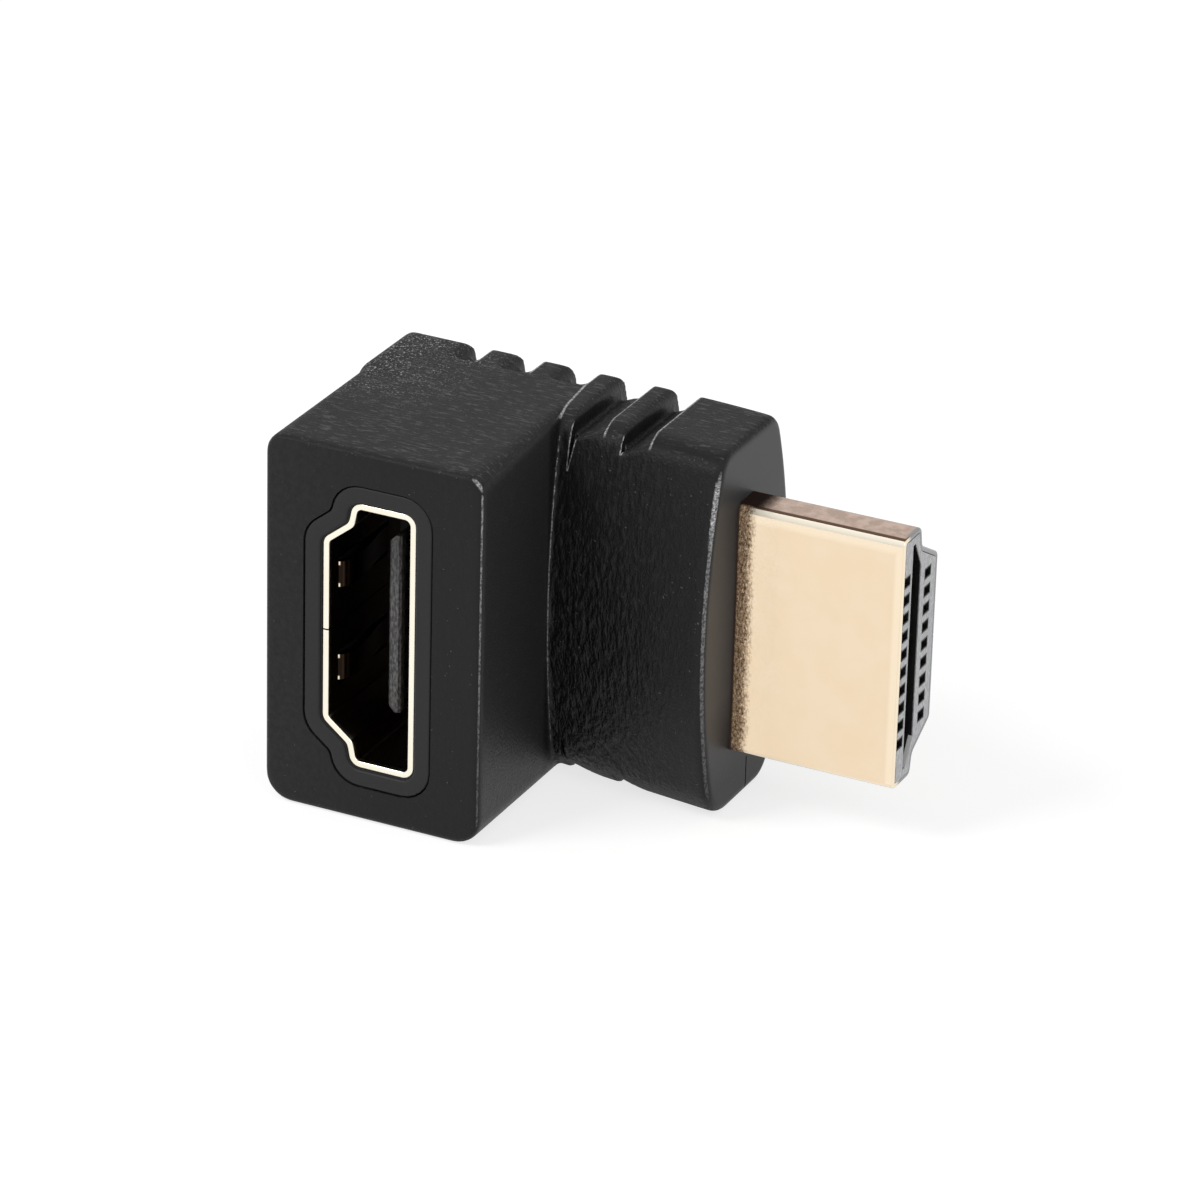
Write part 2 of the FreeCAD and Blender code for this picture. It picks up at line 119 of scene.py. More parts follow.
def through_rings(name, rings, ring_shaped=False):
    """Skin through rings of points: capped at both ends, or closed on itself when ring_shaped."""
    count = len(rings[0])
    points = [point for ring in rings for point in ring]
    pairs = list(zip(range(len(rings)), range(1, len(rings))))
    faces = []
    if ring_shaped:
        pairs.append((len(rings) - 1, 0))
    else:
        faces.append(tuple(range(count)))
        faces.append(tuple(range((len(rings) - 1) * count, len(rings) * count)))
    for here, there in pairs:
        for j in range(count):
            k = (j + 1) % count
            faces.append((here * count + j, here * count + k, there * count + k, there * count + j))
    return new_piece(name, points, faces)


def settle(piece):
    """Turn the piece's modifiers into its mesh."""
    graph = bpy.context.evaluated_depsgraph_get()
    mesh = bpy.data.meshes.new_from_object(piece.evaluated_get(graph))
    piece.modifiers.clear()
    before = piece.data
    piece.data = mesh
    bpy.data.meshes.remove(before)


def combine(piece, tools, operation):
    """Join the tools to the piece, or cut them from it, one after another."""
    for tool in tools:
        step = piece.modifiers.new("step", "BOOLEAN")
        step.operation = operation
        step.solver = "MANIFOLD"
        step.object = tool
        settle(piece)
        bpy.data.objects.remove(tool)
    return piece


def arc(centre, radius, start, end, steps):
    """Points of an arc in a plane, from start to end angle."""
    angles = [start + (end - start) * i / steps for i in range(steps + 1)]
    return [(centre[0] + radius * math.cos(a), centre[1] + radius * math.sin(a)) for a in angles]


def bar_quarter(reach, radius, corner, inset):
    """Upper half of the front or back of the bar's section, from its crown to the flat top."""
    half = bar_top - inset
    radius = radius - inset
    corner = corner - inset
    centre = reach - inset - radius
    run = math.sqrt((radius - corner) ** 2 - (half - corner) ** 2)
    turn = math.atan2(half - corner, run)
    points = arc((centre, 0.0), radius, 0.0, turn, crown_steps)
    return points + arc((centre + run, half - corner), corner, turn, math.pi / 2, corner_steps)[1:]


def bar_ring(x, inset):
    """Section of the bar at x, which flares from the neck to the end face."""
    flare = max(x - neck, 0.0) / -neck
    front = neck_front + (end_front - neck_front) * flare
    front_radius = neck_front_radius + (end_front_radius - neck_front_radius) * flare
    back_radius = end_back_radius + (bar_back_radius - end_back_radius) * x / far_side
    turned_in = back_corner + (end_back_corner - back_corner) * flare ** corner_growth
    halves = []
    for corner in (front_corner, under_corner):
        half = [(-d, z) for d, z in bar_quarter(front, front_radius, corner, inset)]
        behind = bar_quarter(bar_back, back_radius, turned_in, inset)
        halves.append(half + behind[::-1])
    lower = [(y, -z) for y, z in halves[1][1:-1]][::-1]
    return [(x, y, z) for y, z in halves[0] + lower]


def rounding(edge, steps=corner_steps):
    """(setback, inset) pairs of a rounded edge, from the side to the face."""
    angles = [math.pi / 2 * i / steps for i in range(steps + 1)]
    return [(edge * (1 - math.sin(a)), edge * (1 - math.cos(a))) for a in angles]


def bar(inset=0.0):
    """The grip's bar, or the same bar shrunk by an inset with sharp ends."""
    middle = [(neck * (1 - i / flare_steps), inset) for i in range(flare_steps)]
    if inset:
        sections = [(far_side + inset, inset)] + middle + [(-inset, inset)]
    else:
        sections = [(far_side + setback, cut) for setback, cut in rounding(far_edge)][::-1]
        sections += [(x, cut) for x, cut in middle if x < -end_edge]
        sections += [(-setback, cut) for setback, cut in rounding(end_edge)]
    return through_rings("bar", [bar_ring(x, cut) for x, cut in sections])


def arm():
    """The block round the socket; its sides lean in and its edges sharpen back from the mouth."""
    length = -mouth - neck_front + arm_overlap
    rings = []
    for back, cut in rounding(mouth_edge)[::-1] + [(length, 0.0)]:
        left = far_side + far_draft * back + cut
        right = far_side + arm_width - side_draft * back - cut
        half = bar_top - cut
        ring = []
        for quarter, (side, upright) in enumerate(((right, 1), (left, 1), (left, -1), (right, -1))):
            corner = arm_corners[0] if upright > 0 else arm_corners[1]
            corner += (arm_back_corner - corner) * back / length - cut
            centre = (side - corner if side == right else side + corner, upright * (half - corner))
            ring += arc(centre, corner, quarter * math.pi / 2, (quarter + 1) * math.pi / 2, corner_steps)
        rings.append([(x, mouth + back, z) for x, z in ring])
    return through_rings("arm", rings)


def prism(name, outline, place, start, end):
    """Straight prism over an outline, from start to end along the third axis."""
    return through_rings(name, [[place(a, b, start) for a, b in outline],
                                [place(a, b, end) for a, b in outline]])


def in_xz(x, z, y):
    """Point of a prism whose outline is drawn over x and z."""
    return x, y, z


def in_xy(x, y, z):
    """Point of a prism whose outline is drawn over x and y."""
    return x, y, z


def mirrored(piece):
    """The same tool on the underside of the grip."""
    points = [(v.co.x, v.co.y, -v.co.z) for v in piece.data.vertices]
    return new_piece(piece.name, points, [tuple(p.vertices) for p in piece.data.polygons])


def groove(start, width, front, round_front):
    """Tool of one groove behind its front, with a floor that follows the bar's skin."""
    shoulder, shift = short_shoulder if round_front else long_shoulder
    left, right = shift - start, width - start
    run_out = bar_top - groove_run_out
    top = bar_top + spare
    behind = bar_back + spare
    lower = (left + groove_round, run_out + groove_round), (right - groove_round, run_out + groove_round)
    outline = [(left - shoulder, top)]
    outline += arc((left - shoulder, bar_top - shoulder), shoulder, math.pi / 2, 0.0, corner_steps)
    outline += arc(lower[0], groove_round, math.pi, 1.5 * math.pi, corner_steps)
    outline += arc(lower[1], groove_round, 1.5 * math.pi, 2 * math.pi, corner_steps)
    outline += [(right, top)]
    tool = prism("groove", outline, in_xz, front, behind)
    if round_front:
        left -= shoulder
        ends = (left + groove_round, front + groove_round), (right - groove_round, front + groove_round)
        plan = [(left, behind)]
        plan += arc(ends[0], groove_round, math.pi, 1.5 * math.pi, corner_steps)
        plan += arc(ends[1], groove_round, 1.5 * math.pi, 2 * math.pi, corner_steps)
        plan += [(right, behind)]
        combine(tool, [prism("plan", plan, in_xy, 0.0, top + spare)], "INTERSECT")
    return combine(tool, [bar(groove_depth)], "DIFFERENCE")


def long_groove(start, width, reach):
    """Tool of a long groove's front: an upright left wall and a floor that rises to the right."""
    depth = min(reach, groove_depth + tip_depth)
    front = -(end_front + spare)
    shoulder = long_shoulder[0]
    crest = (-start - shoulder, bar_top - shoulder)
    outline = [(-start, bar_top - depth)] + arc(crest, shoulder, 0.0, math.pi / 2, corner_steps)
    outline += [(crest[0], bar_top + spare), (width - start, bar_top + spare),
                (width - start, bar_top - long_groove_rise)]
    return prism("long groove", outline, in_xz, front, bar_back + spare)


def groove_tip(start, reach):
    """Tool of the slit that carries a long groove on down the front face."""
    outline = [(-start, bar_top - reach), (-start, bar_top), (tip_width - start, bar_top - groove_depth)]
    slit = prism("tip", outline, in_xz, -(end_front + spare), 0.0)
    return combine(slit, [bar(tip_depth)], "DIFFERENCE")


grip = combine(bar(), [arm()], "UNION")
grip_tools = [groove(start, width, short_groove_front, True) for start, width in short_grooves]
grip_tools += [groove(start, width, 0.0, False) for start, width, _ in long_grooves]
grip_tools += [long_groove(*sizes) for sizes in long_grooves]
grip_tools += [mirrored(tool) for tool in grip_tools]
combine(grip, grip_tools, "DIFFERENCE")

cells = grip.modifiers.new("cells", "REMESH")
cells.mode = "VOXEL"
cells.voxel_size = cell
soften = grip.modifiers.new("soften", "SMOOTH")
soften.factor = soft_factor
soften.iterations = soft_passes
thin = grip.modifiers.new("thin", "DECIMATE")
thin.ratio = kept_share
settle(grip)
slits = [groove_tip(start, reach) for start, _, reach in long_grooves]
combine(grip, slits + [mirrored(slit) for slit in slits], "DIFFERENCE")


# The openings of the grip are as sharp as the steel that cores them: the D-shaped seat of the collar, the
# slot for the plug's shell, and the space that the inner mould fills. A parting line crosses the end face.
# The size of a D is its thickness, width, straight side and step, then half its width at the step and at the
# narrow wall.
socket_plane = -15.6
socket_size = (4.55, 14.0, 2.95, 0.2, 5.99, 4.88)
socket_wall = 0.37
socket_corner = 0.3
collar_wall = 0.95
collar_gap = 0.07
collar_back = mouth + 2.0
plug_size = (4.45, 13.9, 2.15, 0.2, 5.8, 4.63)
plug_corner = 0.4
outline_steps = 6
step_softness = 0.6
socket_back = -1.925
core_sides = (-19.345, -11.855)
core_half_height = 8.47
core_block = (-1.6, 2.625, 7.7)     # right end, half depth and half height
parting_line = 0.1
parting_from_plug = 1.2
overlap = 0.01                      # of two tools that make one opening


def d_outline(size, corner, grow=0.0):
    """D-shaped section as (distance from the wide wall, height), moved outwards by grow."""
    thickness, width, straight, step, step_half, shoulder_half = size
    upper = [(0.0, width / 2), (straight, width / 2)]
    upper += [(straight + step, step_half), (thickness, shoulder_half)]
    lower = [(a, -z) for a, z in upper]
    corners = [Vector(point) for point in lower[:1] + upper + lower[:0:-1]]
    outline = []
    for i, here in enumerate(corners):
        before = (here - corners[i - 1]).normalized()
        after = (corners[(i + 1) % len(corners)] - here).normalized()
        convex = before.x * after.y - before.y * after.x < 0
        outwards = Vector((-before.y, before.x)), Vector((-after.y, after.x))
        turn = math.acos(max(-1.0, min(1.0, before.dot(after))))
        tip = here + (outwards[0] + outwards[1]) * grow / (1 + outwards[0].dot(outwards[1]))
        radius = corner + grow if convex else max(corner - grow, step_softness)
        start = tip - before * radius * math.tan(turn / 2)
        side = -1 if convex else 1
        centre = start + outwards[0] * radius * side
        for k in range(outline_steps + 1):
            turned = Matrix.Rotation(side * turn * k / outline_steps, 2) @ (start - centre)
            outline.append(tuple(centre + turned))
    return outline


wide_wall = socket_plane + socket_size[0] / 2


def socket_ring(y, grow):
    """The socket's section at y; its wide wall is the one nearest the plug."""
    return [(wide_wall - a, y, z) for a, z in d_outline(socket_size, socket_corner, grow)]


def plug_ring(x, grow):
    """The plug's section at x; its wide face looks the way the socket opens."""
    return [(x, a - plug_size[0] / 2, z) for a, z in d_outline(plug_size, plug_corner, grow)]


def block(name, x, y, z):
    """Plain box from three (low, high) pairs."""
    outline = [(x[0], z[0]), (x[0], z[1]), (x[1], z[1]), (x[1], z[0])]
    return prism(name, outline, in_xz, y[0], y[1])


seat_grow = socket_wall + collar_wall + collar_gap
seat = through_rings("seat", [socket_ring(mouth - spare, seat_grow), socket_ring(collar_back, seat_grow)])
plug_slot = through_rings("slot", [plug_ring(core_block[0] - spare, 0.0), plug_ring(spare, 0.0)])
sleeve = block("sleeve", core_sides, (collar_back - overlap, socket_back),
               (-core_half_height, core_half_height))
core = block("core", (core_sides[0], core_block[0]), (-core_block[1], core_block[1]),
             (-core_block[2], core_block[2]))
line = block("line", (-parting_line, spare), (-parting_line / 2, parting_line / 2),
             (-bar_top - spare, -plug_size[1] / 2 - parting_from_plug))
combine(grip, [seat, plug_slot, sleeve, core, line], "DIFFERENCE")


def finish_piece(piece, name, material, slot, *replaced):
    """Bring a piece to the frame, shade it, give it its material and hide the parts it replaces; the slot is
    not used.
    """
    piece.name = name
    piece.data.name = name
    piece.data.transform(to_frame)
    piece.data.shade_smooth()
    piece.data.set_sharp_from_angle(angle=sharp_turn)
    flats = piece.modifiers.new("flats", "WEIGHTED_NORMAL")
    flats.keep_sharp = True
    settle(piece)
    piece.data.materials.clear()
    piece.data.materials.append(material)
    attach(piece, "root")
    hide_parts(*replaced)


def new_material(name):
    """Node material and its shader."""
    material = bpy.data.materials.new(name)
    material.use_nodes = True
    return material, material.node_tree.nodes["Principled BSDF"]


def add_node(tree, kind, links=(), **settings):
    """Node of a tree, each of its named sockets linked to a source or set to a value."""
    node = tree.nodes.new("ShaderNode" + kind)
    for key, value in settings.items():
        setattr(node, key, value)
    for socket, source in links:
        if hasattr(source, "is_linked"):
            tree.links.new(source, node.inputs[socket])
        else:
            node.inputs[socket].default_value = source
    return node


def join(source, target):
    """Link one node's output to another's input."""
    source.id_data.links.new(source, target)


def in_mm(shader, zero=(0.0, 0.0, 0.0)):
    """Place of each point of the surface, in millimetres from zero."""
    tree = shader.id_data
    place = add_node(tree, "TexCoord").outputs["Object"]
    moved = add_node(tree, "VectorMath", [(0, place), (1, zero)], operation="SUBTRACT").outputs[0]
    return add_node(tree, "VectorMath", [(0, moved), (1, [1 / mm] * 3)], operation="MULTIPLY").outputs[0]


def normal_of(shader):
    """Direction in which each point of the surface looks."""
    return add_node(shader.id_data, "NewGeometry").outputs["Normal"]


def parts_of(vector):
    """The x, y and z of a vector."""
    return add_node(vector.id_data, "SeparateXYZ", [(0, vector)]).outputs


def calculate(operation, a, b=0.0):
    """Result of one Math node; a is a socket, and b a socket or a number."""
    return add_node(a.id_data, "Math", [(0, a), (1, b)], operation=operation).outputs[0]


def plus(a, b):
    """The sum of two values."""
    return calculate("ADD", a, b)


def minus(a, b):
    """The first value less the second."""
    return calculate("SUBTRACT", a, b)


def times(first, *others):
    """The product of all the values."""
    for other in others:
        first = calculate("MULTIPLY", first, other)
    return first


def greatest(first, *others):
    """The greatest of all the values."""
    for other in others:
        first = calculate("MAXIMUM", first, other)
    return first


def size_of(a):
    """A value without its sign."""
    return calculate("ABSOLUTE", a)


def ramp(value, low, high, to_low=0.0, to_high=1.0):
    """A value mapped from one range to another, and held at its ends."""
    links = [("Value", value), ("From Min", low), ("From Max", high)]
    links += [("To Min", to_low), ("To Max", to_high)]
    return add_node(value.id_data, "MapRange", links).outputs["Result"]


def blend(factor, a, b):
    """A number that goes from a to b with the factor."""
    links = [("Factor", factor), (2, a), (3, b)]
    return add_node(factor.id_data, "Mix", links, data_type="FLOAT").outputs[0]


def over(base, factor, colour):
    """A colour laid over a base where factor is 1."""
    links = [("Factor", factor), ("A", base), ("B", colour)]
    return add_node(factor.id_data, "Mix", links, data_type="RGBA").outputs["Result"]


def noise(place, cells, detail=3.0, roughness=0.55):
    """Noise with so many cells to a millimetre along each axis."""
    tree = place.id_data
    scaled = add_node(tree, "VectorMath", [(0, place), (1, cells)], operation="MULTIPLY").outputs[0]
    links = [("Vector", scaled), ("Scale", 1.0), ("Detail", detail), ("Roughness", roughness)]
    return add_node(tree, "TexNoise", links).outputs["Fac"]


def facing(normal, direction, least, full):
    """1 where the surface looks along a direction, falling to 0 around it."""
    unit = Vector(direction).normalized()
    towards = add_node(normal.id_data, "VectorMath", [(0, normal), (1, unit)], operation="DOT_PRODUCT")
    return ramp(towards.outputs["Value"], least, full)


def relief(shader, height, depth, strength):
    """Fine relief of a surface, on top of any that its shader already has."""
    links = [("Strength", strength), ("Distance", depth * mm), ("Height", height)]
    links += [("Normal", link.from_socket) for link in shader.inputs["Normal"].links]
    join(add_node(shader.id_data, "Bump", links).outputs["Normal"], shader.inputs["Normal"])


def grey(level):
    """Neutral colour, a touch blue as black vinyl is."""
    return level, level, level * 1.02, 1


# The mould's steel is etched, so the vinyl has a leather grain: drawn out along the top and down the front
# of the bar, gritty over the elbow, faint at the mouth and on the end face. Edges and ribs carry painted
# highlights.
vinyl_black = grey(0.0095)
flank_light_grey = grey(0.027)
mouth_light_grey = grey(0.02)
crest_highlight_grey = grey(0.062)
trough_shade_black = grey(0.003)
elbow_glint = grey(0.6)
stray_glint = grey(0.10)
end_light_grey = grey(0.075)
crease_shade_black = grey(0.003)
glint_pale = grey(0.45)
head_glint = grey(0.8)

top_grain = (1.5, 6.5, 6.5)         # cells to a millimetre along each axis, as for every grain below
front_grain = (3.8, 3.8, 1.5)
speckle_grain = (7.5, 7.5, 7.5)
patch_grain = (0.9, 0.9, 0.9)
bead_grain = (9.0, 9.0, 6.0)
stray_grain = (5.0, 5.0, 5.0)
mottle_grain = (3.0, 3.0, 3.0)
grain_depth = 0.11
grain_strength = 0.9
squiggle_share = 2.8                # of the wrinkles' height, at the foot of the bar's front
faint_share = 0.3                   # of the same height, on the plain sides
grit_share = (0.4, 2.2)             # of the speckle's height, off the elbow and on it
top_matt = 0.6
side_matt = 0.42
glint_roughness = 0.3
vinyl_gloss = 0.2
rib_line_width = 0.08
rib_line_fade = 0.05

to_right = (1, 0, 0)
to_front = (0, -1, 0)
upwards = (0, 0, 1)
right_front = (1, -1, 0)
right_top = (1, 0, 1)
front_top = (0, -1, 1)
front_bend = (0, -1, 1.4)           # the front corner, a little nearer the top
head_corner = (1, -1, 0.6)
upper_corner = (1, -1, 1)

vinyl, shader = new_material("black_vinyl")
normal = normal_of(shader)
where = in_mm(shader, end_face)
x, y, z = parts_of(where)
behind_mouth = minus(y, mouth)
from_far_side = minus(x, far_side)
on_top = ramp(size_of(parts_of(normal)["Z"]), 0.4, 0.75)
end_plane = times(facing(normal, to_right, 0.9, 0.98), ramp(x, -0.7, -0.3))
along_top = noise(where, top_grain, 4.0, 0.65)
along_height = noise(where, front_grain, 2.5, 0.55)
wrinkles = blend(on_top, along_height, along_top)
speckle = noise(where, speckle_grain, 3.0, 0.7)
smooth_mouth = ramp(behind_mouth, 0.1, 0.7, 0.5, 1.0)
grained = times(smooth_mouth, ramp(end_plane, 0.0, 1.0, 1.0, 0.12))
elbow = times(ramp(from_far_side, 2.0, 7.0, 1.0, 0.0), ramp(behind_mouth, 5.0, 10.0), on_top)
on_bar = times(facing(normal, to_front, 0.8, 0.9), ramp(behind_mouth, 4.0, 5.0))
squiggles = times(on_bar, ramp(x, -1.5, -6.0), ramp(z, 6.5, -2.0, 0.25, 1.0))
wrinkle_share = greatest(times(squiggles, squiggle_share), on_top)
wrinkle_share = ramp(wrinkle_share, 0.0, squiggle_share, faint_share, squiggle_share)
gritty = times(elbow, ramp(noise(where, patch_grain, 2.0, 0.6), 0.4, 0.55, 0.35, 1.0))
speckle_share = ramp(gritty, 0.0, 1.0, *grit_share)
grain = plus(times(wrinkles, grained, wrinkle_share), times(speckle, grained, speckle_share))
relief(shader, grain, grain_depth, grain_strength)

# Painted highlights show pale on the arm's upright edge, the block's front edge and its head, and the
# mouth's corner.
near_end = ramp(x, -1.2, -1.0)
more_above = ramp(z, -8.0, 8.0, 0.3, 1.0)
arm_edge = times(facing(normal, right_front, 0.982, 0.995), more_above)
block_edge = times(facing(normal, right_front, 0.93, 0.98), near_end, more_above)
corner_edge = times(facing(normal, upper_corner, 0.93, 0.98), ramp(behind_mouth, 0.9, 0.6))
block_head = times(facing(normal, head_corner, 0.88, 0.95), near_end, ramp(z, 5.5, 6.5), ramp(z, 9.0, 8.8))
glint_mask = greatest(arm_edge, block_edge, corner_edge, block_head)


def glint_line(x, along, first, last):
    """Thin line between two points, each given by x and by its place along the other axis."""
    slope = (last[0] - first[0]) / (last[1] - first[1])
    apart = size_of(minus(minus(x, times(along, slope)), first[0] - slope * first[1]))
    begun = ramp(along, first[1] - rib_line_fade, first[1])
    not_over = ramp(along, last[1], last[1] + 2 * rib_line_fade, 1.0, 0.0)
    return times(ramp(apart, rib_line_width, rib_line_width / 2), begun, not_over)


# Fine painted highlight lines follow the right edge of each groove, the neck, and both sides of the two
# slits.
on_front = times(facing(normal, to_front, 0.4, 0.6), ramp(y, -3.0, -2.8, 1.0, 0.0))
on_skin = times(facing(normal, upwards, 0.5, 0.7), ramp(z, bar_top - 1.4, bar_top - 1.2))
ribs = [(width - start + rib_line_width, short_groove_front) for start, width in short_grooves]
ribs += [(width - start + rib_line_width, -neck_front - 1.0) for start, width, _ in long_grooves]
for rib, front in ribs:
    glint_mask = greatest(glint_mask, times(glint_line(x, y, (rib, front), (rib, bar_back)), on_skin))
neck_line = glint_line(x, y, (neck, -neck_front), ribs[2])
glint_mask = greatest(glint_mask, times(neck_line, on_skin))
for start, _, reach in long_grooves:
    foot = (-start, bar_top - reach)
    for head in ((-start, bar_top - 0.3), (tip_width - start, bar_top - groove_depth)):
        glint_mask = greatest(glint_mask, times(glint_line(x, z, foot, head), on_front))
# Painted highlights: the glint lines and edges are painted pale in beads, with a lower roughness.
glints = times(glint_mask, ramp(noise(where, bead_grain, 3.0, 0.7), 0.44, 0.56, 0.25, 1.0))

# The tones of the vinyl, each laid over the ones before it.
# Painted light: the right flank of the arm is painted paler.
lit_flank = times(facing(normal, to_right, 0.8, 0.95), ramp(y, -neck_front, -neck_front - 0.3),
              ramp(x, -4.0, -5.0))
mottle = ramp(noise(where, mottle_grain, 3.0, 0.6), 0.35, 0.65, 0.3, 1.0)
# Painted light: the mouth face is painted paler towards the far side, in a mottled patch.
lit_mouth_left = times(facing(normal, to_front, 0.9, 0.98), ramp(behind_mouth, 0.3, 0.2),
                   ramp(from_far_side, 1.0, 7.0, 1.0, 0.15), mottle)
# Painted highlights on the crests of the grain, strongest on the top and at the foot of the bar's front.
painted = ramp(greatest(times(squiggles, 0.3), on_top), 0.0, 1.0, 0.06, 1.0)
crest_highlights = times(ramp(wrinkles, 0.55, 0.63), grained, painted)
# Painted shade in the troughs of the squiggles at the foot of the bar's front.
trough_shade = times(squiggles, ramp(along_height, 0.5, 0.4, 0.0, 0.7))
# Painted glints: bright specks over the elbow and along the mouth's top edge.
mouth_lip = times(facing(normal, front_top, 0.8, 0.95), ramp(behind_mouth, 0.6, 0.4), 0.4)
glint_specks = greatest(times(ramp(speckle, 0.575, 0.635), gritty), times(ramp(speckle, 0.66, 0.7), mouth_lip))
# Painted glints: sparse bright specks all over the vinyl.
stray_glints = ramp(noise(where, stray_grain, 2.0, 0.6), 0.7, 0.74)
# Painted light on the end face, across its middle and upper part, fading out towards the bottom.
end_face_light = times(end_plane, ramp(z, -8.5, -3.5), ramp(z, 2.0, 7.0, 1.0, 0.63))
# Painted shade: dark bands along the bar's top front bend, the end face's top edge and the mouth's top edge.
top_crease = times(facing(normal, front_bend, 0.95, 0.995), ramp(x, -4.6, -4.2, 0.0, 0.75))
end_crease = times(facing(normal, right_top, 0.85, 0.98), ramp(x, -0.8, -0.5, 0.0, 0.55))
mouth_crease = times(facing(normal, front_top, 0.9, 0.97), ramp(behind_mouth, 0.5, 0.8, 0.5, 0.0))
crease_shades = greatest(top_crease, end_crease, mouth_crease)
# Painted glints: bright specks on the block's head.
head_glints = times(block_head, ramp(speckle, 0.52, 0.6))

tone = vinyl_black
for share, colour in ((lit_flank, flank_light_grey), (lit_mouth_left, mouth_light_grey), (crest_highlights, crest_highlight_grey),
                      (trough_shade, trough_shade_black), (glint_specks, elbow_glint), (stray_glints, stray_glint),
                      (end_face_light, end_light_grey), (crease_shades, crease_shade_black), (glints, glint_pale),
                      (head_glints, head_glint)):
    tone = over(tone, share, colour)
join(tone, shader.inputs["Base Color"])
matt = ramp(on_top, 0.0, 1.0, side_matt, top_matt)
join(blend(glints, matt, glint_roughness), shader.inputs["Roughness"])
shader.inputs["Specular IOR Level"].default_value = vinyl_gloss
finish_piece(grip, "grip", vinyl, "grip_plastic", "overmould")

# The collar: a D-shaped ring of smooth black plastic round the socket's mouth. It keeps the vinyl off the
# shell while the grip is moulded, and shows as a band of its own, parted from the grip by a fine dark line.
collar_lip = 0.1
collar_lead = 0.08
collar_setback = 0.02
rim_recess = 0.15
lip_steps = 4
collar_dark = (0.017, 0.0165, 0.018, 1)
collar_light = (0.023, 0.0225, 0.024, 1)
collar_grain = (9.0, 9.0, 9.0)
collar_matt = (0.5, 0.6)
collar_relief = 0.02
collar_strength = 0.3
collar_gloss = 0.3
collar_face = mouth + collar_setback
rim = mouth + rim_recess

outside = socket_wall + collar_wall
inside = socket_wall + collar_lead
lip = rounding(collar_lip, lip_steps)
profile = [(collar_back, outside)]
profile += [(collar_face + back, outside - cut) for back, cut in lip]
profile += [(collar_face + back, inside + cut) for back, cut in lip[::-1]]
profile += [(rim, inside), (rim, socket_wall), (collar_back, socket_wall)]
collar = through_rings("collar", [socket_ring(y, grow) for y, grow in profile], ring_shaped=True)

collar_plastic, shader = new_material("collar_plastic")
fine = noise(in_mm(shader), collar_grain, 2.0)
join(over(collar_dark, ramp(fine, 0.3, 0.7), collar_light), shader.inputs["Base Color"])
join(ramp(fine, 0.3, 0.7, *collar_matt), shader.inputs["Roughness"])
relief(shader, fine, collar_relief, collar_strength)
shader.inputs["Specular IOR Level"].default_value = collar_gloss
finish_piece(collar, "collar", collar_plastic, "collar_plastic", "socket_collar")

# The plug's shell: thin steel sheet stamped and folded to a D, nickel plated and then flashed with a pale
# gold. Its two edges meet in a seam on the narrow face, and its front edge is rounded over.
plug_reach = (plug_high.x - end_face.x) / mm
plug_rear = (plug_low.x - end_face.x) / mm
plug_wall = 0.3
plug_lip = 0.12
seam_gap = 0.08

plug_pale = (0.865, 0.70, 0.515, 1)
plug_deep = (0.845, 0.68, 0.48, 1)
edge_highlight_gold = (0.90, 0.78, 0.60, 1)
bend_shade_brown = (0.12, 0.075, 0.055, 1)
soil_reflection_dark = (0.41, 0.295, 0.235, 1)
soil_reflection_light = (0.54, 0.405, 0.33, 1)
border_highlight_gold = (0.93, 0.79, 0.60, 1)
lit_gold = (1.0, 0.93, 0.78, 1)
far_shade_grey = grey(0.27)
grit_dark = (0.09, 0.05, 0.025, 1)
grit_brown = (0.50, 0.33, 0.20, 1)
grit_gold = (0.95, 0.84, 0.64, 1)
root_shadow_brown = (0.07, 0.045, 0.03, 1)
shade_brown = (0.02, 0.011, 0.009, 1)
pit_grain = (7.0, 7.0, 7.0)
cloud_grain = (0.5, 0.5, 0.5)
soil_reflection_grain = (1.6, 1.6, 1.6)
ragged_grain = (9.0, 9.0, 5.0)
slow_grain = (1.5, 1.5, 1.5)
pit_depth = 0.004
pit_strength = 0.2
plate_matt = (0.16, 0.26)
stain_length = (1.2, 1.65)
stain_share = 0.95
root_shadow_band = (0.08, 0.16)
dip_depth = 0.3
dip_length = 2.2
border_top = 6.05
dull_matt = 0.7
dull_gloss = 0.03
lit_bend = (0, -1, 0.5)         # where the wide face turns over to the narrow side

lip = rounding(plug_lip, lip_steps)
profile = [(plug_rear, 0.0)]
profile += [(plug_reach - back, -cut) for back, cut in lip]
profile += [(plug_reach - back, cut - plug_wall) for back, cut in lip[::-1]]
profile += [(plug_rear, -plug_wall)]
plug_shell = through_rings("plug", [plug_ring(x, grow) for x, grow in profile], ring_shaped=True)
narrow_face = plug_size[0] / 2
seam = block("seam", (plug_rear - spare, plug_reach + spare),
             (narrow_face - 2 * plug_wall, narrow_face + spare), (-seam_gap / 2, seam_gap / 2))
combine(plug_shell, [seam], "DIFFERENCE")


def gold_plate(name, pale, deep):
    """Pale gold flash over nickel, with the faint pits and drawing marks of the sheet under it."""
    material, shader = new_material(name)
    where = in_mm(shader)
    pits = noise(where, pit_grain, 4.0)
    clouds = noise(where, cloud_grain, 2.0)
    join(over(pale, ramp(clouds, 0.35, 0.65), deep), shader.inputs["Base Color"])
    join(ramp(pits, 0.3, 0.7, *plate_matt), shader.inputs["Roughness"])
    relief(shader, pits, pit_depth, pit_strength)
    shader.inputs["Metallic"].default_value = 1.0
    return material, shader


def tint(shader, share, colour):
    """Lay another colour over the shader's own where share is 1."""
    before = shader.inputs["Base Color"].links[0].from_socket
    join(over(before, share, colour), shader.inputs["Base Color"])


